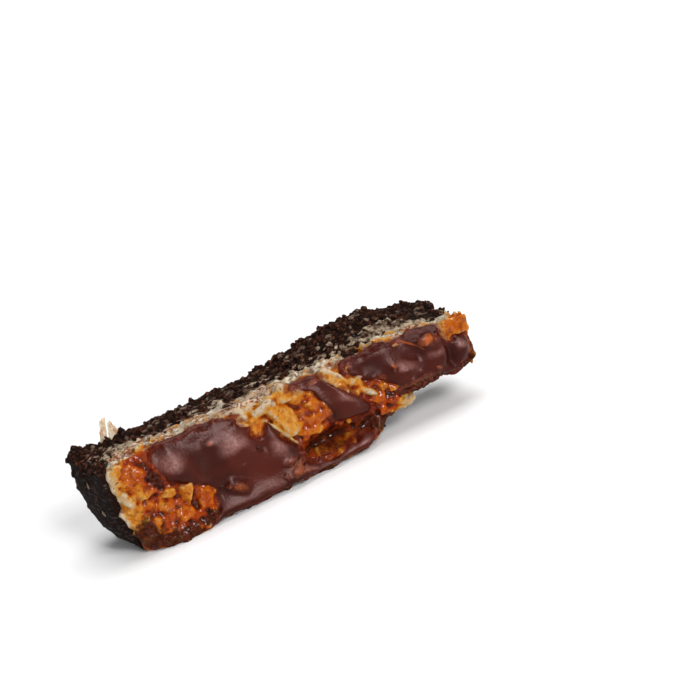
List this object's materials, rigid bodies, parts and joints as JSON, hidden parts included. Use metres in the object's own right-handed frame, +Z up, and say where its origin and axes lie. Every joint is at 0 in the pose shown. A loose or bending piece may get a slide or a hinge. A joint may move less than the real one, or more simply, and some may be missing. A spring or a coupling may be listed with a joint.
{
  "type": "chocolate macaroon bar",
  "caption": "Finger of dark brownie with a toasted coconut macaroon layer and poured chocolate pools, lying on its long side, one corner broken off.",
  "frame": {"origin": "under the middle of the bar's box, on the surface it lies on", "axes": "+X along the bar from the baked end to the broken end, +Y from the poured chocolate face back to the brownie base, +Z up from the resting side to the knife-cut side"},
  "size_m": [0.113, 0.0316, 0.0331],
  "materials": {
    "brownie": "crumbly, matt, dark brown",
    "toasted_coconut": "sticky shreds, cream where cut and toasted gold in front",
    "poured_chocolate": "satin, smooth, purple-brown"
  },
  "bodies": {
    "root": {"brownie_base": "brownie", "coconut_layer": "toasted_coconut", "chocolate_pool_left": "poured_chocolate", "chocolate_pool_middle": "poured_chocolate", "chocolate_pool_right": "poured_chocolate"}
  },
  "joints": []
}
